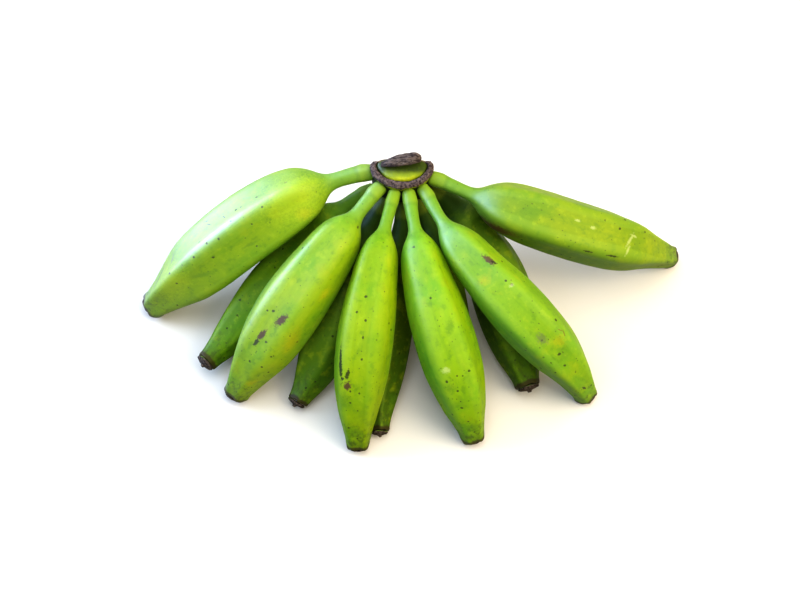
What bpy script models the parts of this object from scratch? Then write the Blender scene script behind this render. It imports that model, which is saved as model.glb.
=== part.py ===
"""A cut hand of eleven green cooking bananas, crown up, standing on its fingertips.

The crown carries an upper row of six bananas and a lower row of five that lies between and
under them. Metres, +Z up, the floor at Z = 0. The bananas point towards -Y and to both sides,
and the hand is open at the back, where it was cut from the stalk.
"""
from collections import namedtuple
import math
import random

import bmesh
import bpy
import numpy as np

# Crown: the green cushion that all the stalks grow from, half an oval seen from above
CROWN_AT = (-0.0070, 0.0730)
CROWN_HALF_WIDTH = 0.0185
CROWN_FRONT_DEPTH = 0.0155
CROWN_BACK_DEPTH = 0.0055
CROWN_BOTTOM = 0.0475
CROWN_SHELF = 0.0755
CROWN_TOP = 0.0790
CROWN_SIDES = 28
GAP = 0.0003

# The crown's rings from below upwards: how far each is drawn in, and its height. The side comes
# first, then the pad, whose insets are counted from the inner edge of the scar. No ring is drawn
# in past the least share of the crown's radius.
CROWN_SIDE = [
    (0.0120, CROWN_BOTTOM), (0.0065, CROWN_BOTTOM + 0.0008), (0.0022, CROWN_BOTTOM + 0.0035),
    (0.0004, CROWN_BOTTOM + 0.0080), (0.0000, CROWN_SHELF - 0.0060), (0.0003, CROWN_SHELF),
]
CROWN_PAD = [
    (0.0000, CROWN_SHELF), (0.0002, CROWN_TOP - 0.0012), (0.0016, CROWN_TOP),
    (0.0083, CROWN_TOP + 0.0002),
]
LEAST_SHARE = 0.3

# Corky scar of the bract, a rim on the crown's shelf that stops short of the back
SCAR_WIDTH = 0.0034
SCAR_HEIGHT = 0.0040
SCAR_OVERHANG = 0.0008
SCAR_HALF_SPAN = 98
SCAR_STATIONS = 22
SCAR_END_DROP = 0.45
# Section of the rim: share of its width from the inner edge, and share of its height
SCAR_SECTION = [(0, 0), (0.81, 0), (1, 0.22), (1, 0.60), (0.74, 0.92), (0.29, 1), (0, 0.75)]

# Dried scab on the cut, a lens lying slantwise on the crown's top, with a blunt right end
CUT_HALF_LENGTH = 0.0118
CUT_HALF_DEPTH = 0.0040
CUT_HEIGHT = 0.0050
CUT_FORWARD = 0.0008
CUT_SLANT = 0.0014
CUT_LIFT = 0.0008
CUT_RISE = 0.0010
CUT_RIGHT_SWELL = 0.25
CUT_STATIONS = 11
CUT_SIDES = 10

# Roots of the two rows of stalks
UPPER_ROOT = 0.0700
LOWER_ROOT = 0.0570
ROOT_GAP = 0.0004
ROOT_CENTRE_SHARE = 0.1

# Banana shape: share of the axis from the crown, and share of the full half width there
OUTLINE = [
    (0.00, 0.27), (0.03, 0.26), (0.09, 0.235), (0.135, 0.24), (0.165, 0.34), (0.20, 0.60),
    (0.255, 0.83), (0.35, 0.95), (0.48, 1.00), (0.61, 1.00), (0.73, 0.92), (0.83, 0.75),
    (0.91, 0.57), (0.96, 0.46), (1.00, 0.40),
]
STEPS_PER_SPAN = 2

# Where a banana may be slimmer than the outline, and how far along that reaches: at the collar
# behind the shoulder, and at the bottle neck before the tip
COLLAR_AT = 0.30
COLLAR_REACH = 0.16
NECK_AT = 0.87
NECK_REACH = 0.075

# The lower row's stalks are short, and their shoulders begin sooner than the outline says
STOUT_AT = 0.14
STOUT_REACH = 0.085

# Angular section: five flat faces with soft ridges between them, three corners to a face
FACES = 5
CORNERS_PER_FACE = 3
HARDNESS = 9
FACE_TURN_VARIATION = 7
FACE_DEPTH_VARIATION = 0.05
MEAN_HALF_WIDTH = 1.06

# The section is rounder at the stalk, fully angular along the body and softer at the tip
STALK_ANGULARITY = 0.35
TIP_SOFTENING = 0.30
ANGULAR_FROM = 0.12
ANGULAR_AT = 0.27
SOFTER_FROM = 0.88

# Dried flower end: distance beyond the tip, and share of the tip's half width there. The disc
# lies square on the tip, and the nub on it points straight outwards, clear of the floor.
FLOWER_DISC = [(GAP, 0.92), (0.0010, 0.95), (0.0019, 0.80), (0.0022, 0.36)]
FLOWER_NUB = [(0.0008, 0.22), (0.0028, 0.15)]
FLOWER_END_SIDES = 10

# Each banana's axis: turn in degrees round the crown (0 is straight ahead, minus is left) and
# reach from the crown's middle. The shoulder and the belly also have a height above the floor,
# and the tip's height is found by letting it down on the floor. Width is across the belly,
# collar and neck are the shares of the half width that those two places give up, and stout is
# the share that the end of the stalk gains.
Station = namedtuple("Station", "turn reach height")
Tip = namedtuple("Tip", "turn reach")
Banana = namedtuple("Banana", "name root shoulder belly tip width roll collar neck stout")
BANANAS = [
    Banana("upper_1", -88, Station(-80, 0.045, 0.068), Station(-71.8, 0.097, 0.0535),
           Tip(-69.8, 0.1635), 0.0397, 22, 0.0, 0.06, 0.0),
    Banana("upper_2", -50, Station(-42.5, 0.042, 0.067), Station(-40.3, 0.090, 0.052),
           Tip(-41, 0.151), 0.0355, -5, 0.11, 0.04, 0.0),
    Banana("upper_3", -17, Station(-15.0, 0.041, 0.066), Station(-12.8, 0.092, 0.051),
           Tip(-10, 0.148), 0.0317, 4, 0.15, 0.0, 0.0),
    Banana("upper_4", 15, Station(11.0, 0.041, 0.067), Station(13.4, 0.092, 0.052),
           Tip(16.4, 0.147), 0.0333, 7, 0.15, -0.03, 0.0),
    Banana("upper_5", 47, Station(34.5, 0.041, 0.069), Station(37.4, 0.095, 0.0585),
           Tip(43.9, 0.1585), 0.032, 17, 0.15, 0.05, 0.0),
    Banana("upper_6", 75, Station(70.2, 0.045, 0.067), Station(73.9, 0.102, 0.0515),
           Tip(82.3, 0.1697), 0.0350, 24, 0.0, 0.08, 0.0),
    Banana("lower_1", -76, Station(-69, 0.043, 0.043), Station(-57.0, 0.094, 0.0195),
           Tip(-50.2, 0.1515), 0.0325, 0, 0.22, 0.0, 0.45),
    Banana("lower_2", -38, Station(-39, 0.036, 0.043), Station(-29.4, 0.083, 0.021),
           Tip(-27.4, 0.1345), 0.031, 12, 0.12, 0.0, 0.55),
    Banana("lower_3", 0, Station(-2, 0.036, 0.043), Station(-5.8, 0.082, 0.020),
           Tip(-5.4, 0.138), 0.027, 30, 0.12, 0.0, 0.70),
    Banana("lower_4", 75, Station(67, 0.045, 0.039), Station(44.0, 0.092, 0.0190),
           Tip(33.8, 0.134), 0.0355, 6, 0.20, -0.05, 0.80),
    Banana("lower_5", 33, Station(30, 0.037, 0.043), Station(19.0, 0.083, 0.0185),
           Tip(16.5, 0.125), 0.0260, 18, 0.18, 0.0, 0.65),
]

# A tip is let down until it would sink this far, and is then flat where it meets the floor
FOOT_DEPTH = 0.0006
FIRST_TIP_HEIGHT = 0.006
SETTLING_ROUNDS = 4

# Points along which each axis is measured
AXIS_SAMPLES = 241

# Colours and finishes: base colour, roughness
SKIN = ((0.30, 0.52, 0.05, 1.0), 0.42)
CROWN_GREEN = ((0.34, 0.48, 0.05, 1.0), 0.50)
CORK = ((0.16, 0.10, 0.08, 1.0), 0.90)
SCAB = ((0.09, 0.06, 0.06, 1.0), 0.95)


def new_collection(name):
    """Remove what the scene holds and start one collection for the part."""
    for old in list(bpy.data.objects):
        bpy.data.objects.remove(old, do_unlink=True)
    collection = bpy.data.collections.new(name)
    bpy.context.scene.collection.children.link(collection)
    return collection


def principled(name, finish):
    """A plain Principled material from a colour and a roughness."""
    colour, roughness = finish
    material = bpy.data.materials.new(name)
    material.use_nodes = True
    shader = material.node_tree.nodes["Principled BSDF"]
    shader.inputs["Base Color"].default_value = colour
    shader.inputs["Roughness"].default_value = roughness
    return material


def loft(collection, name, rings, material, stand=False):
    """One closed solid through rings of corners; stand cuts a flat foot at the floor."""
    bm = bmesh.new()
    loops = [[bm.verts.new(corner) for corner in ring] for ring in rings]
    for near, far in zip(loops, loops[1:]):
        for i in range(len(near)):
            j = (i + 1) % len(near)
            bm.faces.new((near[i], near[j], far[j], far[i]))
    bm.faces.new(reversed(loops[0]))
    bm.faces.new(loops[-1])
    if stand:
        everything = bm.verts[:] + bm.edges[:] + bm.faces[:]
        cut = bmesh.ops.bisect_plane(bm, geom=everything, plane_co=(0, 0, 0),
                                     plane_no=(0, 0, -1), clear_outer=True)
        rim = [part for part in cut["geom_cut"] if isinstance(part, bmesh.types.BMEdge)]
        if rim:
            bmesh.ops.edgeloop_fill(bm, edges=rim)
    bmesh.ops.recalc_face_normals(bm, faces=bm.faces)
    mesh = bpy.data.meshes.new(name)
    bm.to_mesh(mesh)
    bm.free()
    mesh.materials.append(material)
    mesh.shade_smooth()
    piece = bpy.data.objects.new(name, mesh)
    collection.objects.link(piece)
    return piece


def smooth_steps(points, steps):
    """A Catmull-Rom curve through (x, y) points, with some steps in each span."""
    padded = [points[0]] + list(points) + [points[-1]]
    curve = []
    for before, here, there, after in zip(padded, padded[1:], padded[2:], padded[3:]):
        slope_here = (there[1] - before[1]) / (there[0] - before[0])
        slope_there = (after[1] - here[1]) / (after[0] - here[0])
        span = there[0] - here[0]
        for step in range(steps):
            t = step / steps
            y = ((1 + 2 * t) * (1 - t) ** 2 * here[1] + t * (1 - t) ** 2 * span * slope_here
                 + t * t * (3 - 2 * t) * there[1] - t * t * (1 - t) * span * slope_there)
            curve.append((here[0] + t * span, y))
    return curve + [points[-1]]


def from_crown(turn, reach, height):
    """A point at a turn and reach from the crown's middle, and a height above the floor."""
    angle = math.radians(turn)
    return np.array((CROWN_AT[0] + reach * math.sin(angle),
                     CROWN_AT[1] - reach * math.cos(angle), height))


def crown_radius(turn):
    """The crown's own radius at a turn: an oval, deeper in front than behind."""
    angle = math.radians(turn)
    depth = CROWN_FRONT_DEPTH if math.cos(angle) > 0 else CROWN_BACK_DEPTH
    return 1 / math.hypot(math.sin(angle) / CROWN_HALF_WIDTH, math.cos(angle) / depth)


def crown_ring(inset, height):
    """A ring of the crown, drawn in from its side but never across its middle."""
    ring = []
    for corner in range(CROWN_SIDES):
        turn = 360 * corner / CROWN_SIDES
        radius = crown_radius(turn)
        ring.append(from_crown(turn, max(radius - inset, LEAST_SHARE * radius), height))
    return ring


def make_crown(collection, material):
    """The cushion: a rounded underside, an upright side, a shelf and a domed pad."""
    pad_edge = SCAR_WIDTH + GAP
    rings = [crown_ring(inset, height) for inset, height in CROWN_SIDE]
    rings += [crown_ring(pad_edge + inset, height) for inset, height in CROWN_PAD]
    return loft(collection, "crown", rings, material)


def make_bract_scar(collection, material):
    """The corky rim: a rounded band lying on the shelf, thinner towards its two ends."""
    rings = []
    for station in range(SCAR_STATIONS + 1):
        share = 2 * station / SCAR_STATIONS - 1
        turn = share * SCAR_HALF_SPAN
        side = crown_radius(turn)
        inner = side - SCAR_WIDTH
        outer = side + SCAR_OVERHANG * (1 - share ** 4)
        low = CROWN_SHELF + GAP
        tall = SCAR_HEIGHT * (1 - SCAR_END_DROP * share ** 6)
        rings.append([from_crown(turn, inner + across * (outer - inner), low + upward * tall)
                      for across, upward in SCAR_SECTION])
    return loft(collection, "bract_scar", rings, material)


def make_dried_cut(collection, material):
    """The scab: a lens, pointed at its left end, higher and blunt at its right end."""
    rings = []
    for station in range(CUT_STATIONS):
        share = 2 * (station + 0.5) / CUT_STATIONS - 1
        swell = math.sqrt(1 - abs(share) ** (2 if share < 0 else 4))
        height = CUT_HEIGHT * swell * (1 + CUT_RIGHT_SWELL * share)
        low = CROWN_TOP + CUT_LIFT + CUT_RISE * (1 + share) / 2
        ring = []
        for corner in range(CUT_SIDES):
            angle = 2 * math.pi * corner / CUT_SIDES
            depth = CUT_SLANT * share + CUT_HALF_DEPTH * swell * math.cos(angle) - CUT_FORWARD
            ring.append((CROWN_AT[0] + share * CUT_HALF_LENGTH, CROWN_AT[1] + depth,
                         low + height * (0.5 + 0.5 * math.sin(angle))))
        rings.append(ring)
    return loft(collection, "dried_cut", rings, material)


def axis_through(stations):
    """Points and directions along one cubic curve through four stations."""
    chord = np.concatenate(([0], np.cumsum(np.linalg.norm(np.diff(stations, axis=0), axis=1))))
    cubic = np.polyfit(chord / chord[-1], stations, 3)
    fine = np.linspace(0, 1, AXIS_SAMPLES)[:, None]
    line = ((cubic[0] * fine + cubic[1]) * fine + cubic[2]) * fine + cubic[3]
    length = np.concatenate(([0], np.cumsum(np.linalg.norm(np.diff(line, axis=0), axis=1))))
    heading = np.gradient(line, axis=0)

    def at(share):
        point = [np.interp(share * length[-1], length, line[:, k]) for k in range(3)]
        along = [np.interp(share * length[-1], length, heading[:, k]) for k in range(3)]
        return np.array(point), np.array(along) / np.linalg.norm(along)
    return at


def section_of(banana):
    """Corner angles round one banana, and how far each stands from its axis."""
    draw = random.Random(banana.name)
    normals = [360 * i / FACES + banana.roll + draw.uniform(-1, 1) * FACE_TURN_VARIATION
               for i in range(FACES)]
    depths = [1 + draw.uniform(-1, 1) * FACE_DEPTH_VARIATION for _ in range(FACES)]
    corners = []
    for i, normal in enumerate(normals):
        ridge = (normals[i - 1] - (360 if i == 0 else 0) + normal) / 2
        next_normal = normals[(i + 1) % FACES] + (360 if i == FACES - 1 else 0)
        next_ridge = (normal + next_normal) / 2
        for step in range(CORNERS_PER_FACE):
            angle = math.radians(ridge + (next_ridge - ridge) * step / CORNERS_PER_FACE)
            nearness = [max(0, math.cos(angle - math.radians(other))) / depth
                        for other, depth in zip(normals, depths)]
            reach = sum(near ** HARDNESS for near in nearness) ** (-1 / HARDNESS)
            corners.append((angle, reach / MEAN_HALF_WIDTH))
    return corners


def against_crown(corner):
    """A corner moved straight out or in until it lies against the crown's upright side."""
    away = (corner[0] - CROWN_AT[0], CROWN_AT[1] - corner[1])
    turn = math.degrees(math.atan2(*away))
    return from_crown(turn, crown_radius(turn) + ROOT_GAP, corner[2])


def angularity(share):
    """How angular the section is: round at the stalk, full along the body, softer at the tip."""
    rise = min(max((share - ANGULAR_FROM) / (ANGULAR_AT - ANGULAR_FROM), 0), 1)
    fall = max((share - SOFTER_FROM) / (1 - SOFTER_FROM), 0)
    return STALK_ANGULARITY + (1 - STALK_ANGULARITY) * rise - TIP_SOFTENING * fall


def rings_along(banana, root_height, tip_height):
    """Rings of corners from the stalk's root to the tip, and the tip's own frame."""
    root = from_crown(banana.root, crown_radius(banana.root) + ROOT_GAP, root_height)
    tip = from_crown(*banana.tip, tip_height)
    axis = axis_through(np.array([root, from_crown(*banana.shoulder), from_crown(*banana.belly),
                                  tip]))
    corners = section_of(banana)
    rings = []
    for share, breadth in smooth_steps(OUTLINE, STEPS_PER_SPAN):
        middle, along = axis(share)
        side = np.cross(along, (0, 0, 1))
        side /= np.linalg.norm(side)
        up = np.cross(side, along)
        slimmer = banana.collar * math.exp(-((share - COLLAR_AT) / COLLAR_REACH) ** 2)
        slimmer += banana.neck * math.exp(-((share - NECK_AT) / NECK_REACH) ** 2)
        slimmer -= banana.stout * math.exp(-((share - STOUT_AT) / STOUT_REACH) ** 2)
        half = breadth * banana.width / 2 * (1 - slimmer)
        hard = angularity(share)
        rings.append([middle + half * (1 - hard + hard * reach)
                      * (math.cos(angle) * up + math.sin(angle) * side)
                      for angle, reach in corners])
    return rings, (middle, along, side, up, half)


def banana_rings(banana):
    """A banana's rings, let down on the floor at the tip and fitted to the crown's side."""
    root_height = UPPER_ROOT if banana.name.startswith("upper") else LOWER_ROOT
    tip_height = FIRST_TIP_HEIGHT
    for _ in range(SETTLING_ROUNDS):
        rings, tip_frame = rings_along(banana, root_height, tip_height)
        tip_height -= np.min(rings, axis=(0, 1))[2] + FOOT_DEPTH
    root_middle = np.mean(rings[0], axis=0)
    root_centre = [root_middle + ROOT_CENTRE_SHARE * (corner - root_middle) for corner in rings[0]]
    rings[0] = [against_crown(corner) for corner in rings[0]]
    rings.insert(0, [against_crown(corner) for corner in root_centre])
    return rings, tip_frame


def flower_end_rings(tip_frame):
    """Rings of the dried flower end: a corky disc, and a short nub bent level."""
    middle, along, side, up, half = tip_frame
    outward = np.array((along[0], along[1], 0)) / math.hypot(along[0], along[1])
    disc_end = middle + FLOWER_DISC[-1][0] * along
    centres = [(middle + distance * along, share) for distance, share in FLOWER_DISC]
    centres += [(disc_end + distance * outward, share) for distance, share in FLOWER_NUB]
    rings = []
    for centre, share in centres:
        ring = []
        for corner in range(FLOWER_END_SIDES):
            angle = 2 * math.pi * corner / FLOWER_END_SIDES
            ring.append(centre + share * half * (math.cos(angle) * up + math.sin(angle) * side))
        rings.append(ring)
    return rings


def make_banana(collection, banana, skin, cork):
    """One banana and its dried flower end, both cut flat where they stand on the floor."""
    rings, tip_frame = banana_rings(banana)
    loft(collection, "banana_" + banana.name, rings, skin, stand=True)
    end_rings = flower_end_rings(tip_frame)
    loft(collection, "flower_end_" + banana.name, end_rings, cork, stand=True)


def main():
    hand = new_collection("cooking_banana_hand")
    skin = principled("banana_skin", SKIN)
    cork = principled("cork", CORK)
    make_crown(hand, principled("crown_green", CROWN_GREEN))
    make_bract_scar(hand, cork)
    make_dried_cut(hand, principled("dried_scab", SCAB))
    for banana in BANANAS:
        make_banana(hand, banana, skin, cork)


main()
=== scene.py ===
# %% [markdown]
# # A hand of green cooking bananas
#
# One cut hand of eleven short, angular bananas rests on a white surface with its crown upwards. The
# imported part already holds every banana, the crown and the corky pieces as plain faceted solids. This
# lesson keeps those shapes and dresses them: each solid is copied, smoothed and roughened as the real
# thing is, and gets skin, cork and scab finishes that are painted by shader nodes alone.

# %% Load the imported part
import math
from collections import namedtuple

import bpy
import numpy as np
from mathutils import Matrix, Vector, noise
from mathutils.bvhtree import BVHTree


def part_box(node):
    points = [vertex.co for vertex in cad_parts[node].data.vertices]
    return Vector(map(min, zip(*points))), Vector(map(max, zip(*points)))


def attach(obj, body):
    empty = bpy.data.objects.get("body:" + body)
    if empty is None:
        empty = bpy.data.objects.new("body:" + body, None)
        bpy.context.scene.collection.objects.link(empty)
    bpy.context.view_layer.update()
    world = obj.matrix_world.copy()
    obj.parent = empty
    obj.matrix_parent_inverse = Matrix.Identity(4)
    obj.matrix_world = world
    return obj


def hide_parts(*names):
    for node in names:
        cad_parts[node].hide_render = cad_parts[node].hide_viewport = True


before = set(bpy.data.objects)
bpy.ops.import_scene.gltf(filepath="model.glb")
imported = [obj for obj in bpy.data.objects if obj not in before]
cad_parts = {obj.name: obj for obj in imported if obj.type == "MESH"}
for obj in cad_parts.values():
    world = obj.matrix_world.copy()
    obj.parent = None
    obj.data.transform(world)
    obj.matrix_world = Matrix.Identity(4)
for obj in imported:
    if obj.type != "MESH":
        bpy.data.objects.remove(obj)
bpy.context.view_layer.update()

# %% [markdown]
# ## The camera
#
# The photograph looks down steeply at the front of the hand, at about 65 degrees. The tips nearest the
# camera are a little larger than those further back, which tells how far away it was: about 0.65 m.
# The camera comes first because the small marks on the skin are later placed by looking through it.

# %% Camera
IMAGE_WIDTH = 800
IMAGE_HEIGHT = 597
FOCAL_MM = 50.0
SENSOR_MM = 36.0
LOOK_DOWN = math.radians(65)
CAMERA_DISTANCE = 0.650
CAMERA_TARGET = Vector((-0.0082, 0.0060, 0.0370))

lens = bpy.data.cameras.new("photo_camera")
lens.lens = FOCAL_MM
lens.sensor_width = SENSOR_MM
camera = bpy.data.objects.new("photo_camera", lens)
bpy.context.scene.collection.objects.link(camera)
towards_camera = Vector((0, -math.cos(LOOK_DOWN), math.sin(LOOK_DOWN)))
camera.location = CAMERA_TARGET + CAMERA_DISTANCE * towards_camera
camera.rotation_euler = (math.pi / 2 - LOOK_DOWN, 0, 0)
bpy.context.scene.camera = camera
print("camera at", [round(c, 3) for c in camera.location])

# %% [markdown]
# ## Smooth pieces from faceted solids
#
# A banana's peel has soft ridges and no flat facets. It could be lofted again from scratch, but the solid
# already has the right pose and girth, so its mesh is copied, its loose triangles are merged into quads,
# and a Subdivision Surface modifier rounds it. Edges that are sharp in the solid get a crease, so that
# the ridges of the peel stay ridges.

# %% Copy and smooth a solid
MERGE_DISTANCE = 1e-5
QUAD_ANGLE = math.radians(70)
FULL_CREASE_ANGLE = math.radians(75)


def work_on(piece):
    """Selects one piece alone, because an operator acts on everything that is selected."""
    bpy.ops.object.select_all(action="DESELECT")
    piece.select_set(True)
    bpy.context.view_layer.objects.active = piece


def edge_bends(mesh):
    """The angle across each edge, in radians: 0 where the surface is flat."""
    normals = np.zeros(len(mesh.polygons) * 3)
    mesh.polygons.foreach_get("normal", normals)
    normals = normals.reshape(-1, 3)
    faces_of = {}
    for polygon in mesh.polygons:
        for key in polygon.edge_keys:
            faces_of.setdefault(key, []).append(polygon.index)
    bends = []
    for edge in mesh.edges:
        pair = faces_of[tuple(sorted(edge.vertices))]
        cosine = float(np.dot(normals[pair[0]], normals[pair[-1]]))
        bends.append(math.acos(max(-1.0, min(1.0, cosine))))
    return np.array(bends)


def smooth_copy(node, name, levels, crease_from, crease_most):
    """A CAD node's shape as a new smooth piece. Edges that bend past crease_from stay a little sharp."""
    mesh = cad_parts[node].data.copy()
    mesh.name = name
    mesh.materials.clear()
    piece = bpy.data.objects.new(name, mesh)
    bpy.context.scene.collection.objects.link(piece)
    work_on(piece)
    bpy.ops.object.mode_set(mode="EDIT")
    bpy.ops.mesh.select_all(action="SELECT")
    bpy.ops.mesh.customdata_custom_splitnormals_clear()
    bpy.ops.mesh.remove_doubles(threshold=MERGE_DISTANCE)
    bpy.ops.mesh.tris_convert_to_quads(face_threshold=QUAD_ANGLE, shape_threshold=QUAD_ANGLE)
    bpy.ops.mesh.normals_make_consistent(inside=False)
    bpy.ops.object.mode_set(mode="OBJECT")
    bpy.ops.object.shade_smooth()
    bends = edge_bends(mesh)
    creases = mesh.attributes.new("crease_edge", "FLOAT", "EDGE")
    share = np.clip((bends - crease_from) / (FULL_CREASE_ANGLE - crease_from), 0, 1)
    creases.data.foreach_set("value", share * crease_most)
    bpy.ops.object.modifier_add(type="SUBSURF")
    rounding = piece.modifiers[-1]
    rounding.levels = levels
    rounding.render_levels = levels
    bpy.ops.object.modifier_apply(modifier=rounding.name)
    return piece


# %% [markdown]
# ## Moving points in code
#
# Fine relief, such as the roughness of cork, would take thousands of strokes by hand. So a piece's points
# and normals are read into arrays, moved all together, and written back. The noise that moves them gives
# the same heights on every run.

# %% Points, noise and the hand-over
SEED_STEP = Vector((3.7, 1.3, 7.1))


def points_of(piece):
    points = np.zeros(len(piece.data.vertices) * 3)
    piece.data.vertices.foreach_get("co", points)
    return points.reshape(-1, 3)


def normals_of(piece):
    normals = np.zeros(len(piece.data.vertices) * 3)
    piece.data.vertices.foreach_get("normal", normals)
    return normals.reshape(-1, 3)


def set_points(piece, points):
    piece.data.vertices.foreach_set("co", points.ravel())
    piece.data.update()


def lumps(points, size, seed):
    """Soft random heights from about -1 to 1, one for each point, with bumps of the given size."""
    shift = seed * SEED_STEP
    return np.array([noise.noise(Vector(point) / size + shift) for point in points])


def finish_piece(piece, node):
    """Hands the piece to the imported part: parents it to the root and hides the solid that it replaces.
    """
    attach(piece, "root")
    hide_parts(node)


# %% [markdown]
# ## The line down the middle of a banana
#
# Marks, streaks and colours on a peel follow the fruit and not the room. So each banana needs its own
# coordinates: how far along it a point is, and how far to the side of its middle or above it. The middle
# line comes from the mesh itself. The fruit grows outwards from the crown, so slices at growing distances
# from the crown cross it one after another, and the middles of the slices make the line.

# %% Coordinates that follow a banana
crown_low, crown_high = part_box("crown")
CROWN_CENTRE = (crown_low + crown_high) / 2
SLICES = 34
SMOOTHING_PASSES = 4
UPWARDS = (0, 0, 1)


def middle_line(points):
    """Middle points of slices through a banana, from its root to its tip, evened out a few times."""
    reach = np.hypot(points[:, 0] - CROWN_CENTRE.x, points[:, 1] - CROWN_CENTRE.y)
    bounds = np.linspace(reach.min(), reach.max(), SLICES + 1)
    line = []
    for near, far in zip(bounds[:-1], bounds[1:]):
        inside = points[(reach >= near) & (reach <= far)]
        if len(inside):
            line.append((inside.min(0) + inside.max(0)) / 2)
    line = np.array(line)
    for _ in range(SMOOTHING_PASSES):
        line[1:-1] = (line[:-2] + 2 * line[1:-1] + line[2:]) / 4
    return line


def along_the_line(points, line):
    """For each point its distance along the line, sideways from it and above it, in metres."""
    steps = np.diff(line, axis=0)
    lengths = np.linalg.norm(steps, axis=1)
    starts = np.concatenate([[0], np.cumsum(lengths)[:-1]])
    limits = np.append(lengths[:-1], np.inf)
    best = np.full(len(points), np.inf)
    result = np.zeros((len(points), 3))
    for start, step, length, limit, begun in zip(line[:-1], steps, lengths, limits, starts):
        forward = step / length
        ahead = np.clip((points - start) @ forward, 0, limit)
        offset = points - start - ahead[:, None] * forward
        gap = np.linalg.norm(offset, axis=1)
        side = np.cross(forward, UPWARDS)
        side /= np.linalg.norm(side)
        above = np.cross(side, forward)
        nearer = gap < best
        best[nearer] = gap[nearer]
        rows = np.stack([begun + ahead, offset @ side, offset @ above], axis=1)
        result[nearer] = rows[nearer]
    return result


def keep_numbers(piece, name, values):
    """Stores one number or one vector for each vertex, under a name that the materials read."""
    kind, field = ("FLOAT", "value") if values.ndim == 1 else ("FLOAT_VECTOR", "vector")
    attribute = piece.data.attributes.new(name, kind, "POINT")
    attribute.data.foreach_set(field, values.ravel())


# %% [markdown]
# ## How far the skin swells
#
# Each banana grows from the crown as a thin stalk, swells into a shoulder, and narrows again to a blunt,
# bottle-necked end. Its peel is five soft faces that meet in ridges. The smoothing shrinks the solid a
# little, so the skin is let out again by that fraction. Shallow waves and dimples are added, and a low
# knob and a faint joint near the root. Each ridge is made sharper by how far it stands out from the
# average of the skin round it. Sculpting could do the same, but numbers treat all eleven alike.

# %% How far the skin swells
ROUNDING_LOSS = 0.018
WAVE_SIZE = 0.030
WAVE_DEPTH = 0.0005
WAVE_SEED = 1
DIMPLE_SIZE = 0.009
DIMPLE_DEPTH = 0.00012
DIMPLE_SEED = 21
KNOB_AT = 0.0038
KNOB_REACH = 0.0022
KNOB_HEIGHT = 0.00012
JOINT_AT = 0.0078
JOINT_REACH = 0.0016
JOINT_DEPTH = 0.00008
RIDGE_PASSES = 70
RIDGE_SHARPENING = 1.1
RIDGE_MOST = 0.0009
BODY_FROM = 0.16
BODY_BLEND = 0.10
STANDING_HEIGHT = 0.0002


def ridge_height(piece, radius):
    """How far each point stands out from the average of the skin round it, in metres: high on a ridge."""
    mesh = piece.data
    ends = np.zeros(len(mesh.edges) * 2, int)
    mesh.edges.foreach_get("vertices", ends)
    ends = ends.reshape(-1, 2)
    count = np.bincount(ends.ravel(), minlength=len(radius)).astype(float)
    spread = radius.copy()
    for _ in range(RIDGE_PASSES):
        total = np.bincount(ends[:, 0], spread[ends[:, 1]], len(radius))
        total += np.bincount(ends[:, 1], spread[ends[:, 0]], len(radius))
        spread = total / count
    return radius - spread


def hump(distance, centre, reach):
    """1 at the centre, fading to 0 on both sides of it."""
    return np.exp(-((distance - centre) / reach) ** 2)


def swell_of(points, distance, share, radius, ridge, index):
    """How far each point of a peel moves outwards, in metres. The flat foot on the floor stays put."""
    on_body = np.clip((share - BODY_FROM) / BODY_BLEND, 0, 1)
    swell = ROUNDING_LOSS * radius + WAVE_DEPTH * lumps(points, WAVE_SIZE, index + WAVE_SEED)
    swell += DIMPLE_DEPTH * lumps(points, DIMPLE_SIZE, index + DIMPLE_SEED)
    swell += KNOB_HEIGHT * hump(distance, KNOB_AT, KNOB_REACH)
    swell -= JOINT_DEPTH * hump(distance, JOINT_AT, JOINT_REACH)
    swell += on_body * np.clip(RIDGE_SHARPENING * ridge, -RIDGE_MOST, RIDGE_MOST)
    swell[points[:, 2] < STANDING_HEIGHT] = 0
    return swell


# %% [markdown]
# ## Eleven peels
#
# One loop makes the peels: copy, swell, and keep the numbers that the skin's pattern reads. Two stalks of
# the lower row are set a little nearer to their neighbours, which closes slits of light between them. The
# root of each stalk is pushed into the crown so that no gap shows there.

# %% Peels
PEEL_LEVELS = 3
PEEL_CREASE_FROM = math.radians(27)
PEEL_CREASE = 0.20
ROOT_SINK = 0.0012
ROOT_REACH = 0.0040
RIDGE_FULL = 0.0002
STALK_SHIFTS = {"lower_3": (-0.0030, 0.24), "lower_4": (-0.0030, 0.16)}
STALK_SHIFT_REACH = 0.11
TIP_SLICES = 3

UPPER_ROW = ["upper_%d" % number for number in range(1, 7)]
LOWER_ROW = ["lower_%d" % number for number in range(1, 6)]
BANANAS = UPPER_ROW + LOWER_ROW


def above_floor(points):
    """Lifts the points that would lie under the floor."""
    points[:, 2] = np.maximum(points[:, 2], 0)


def sink_into_crown(points, distance):
    """Moves the points of a stalk's root level towards the middle of the crown."""
    sink = np.clip(1 - distance / ROOT_REACH, 0, 1)[:, None] * ROOT_SINK
    inward = np.array([CROWN_CENTRE.x, CROWN_CENTRE.y, 0]) - points * (1, 1, 0)
    points += sink * inward / np.linalg.norm(inward, axis=1)[:, None]


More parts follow.
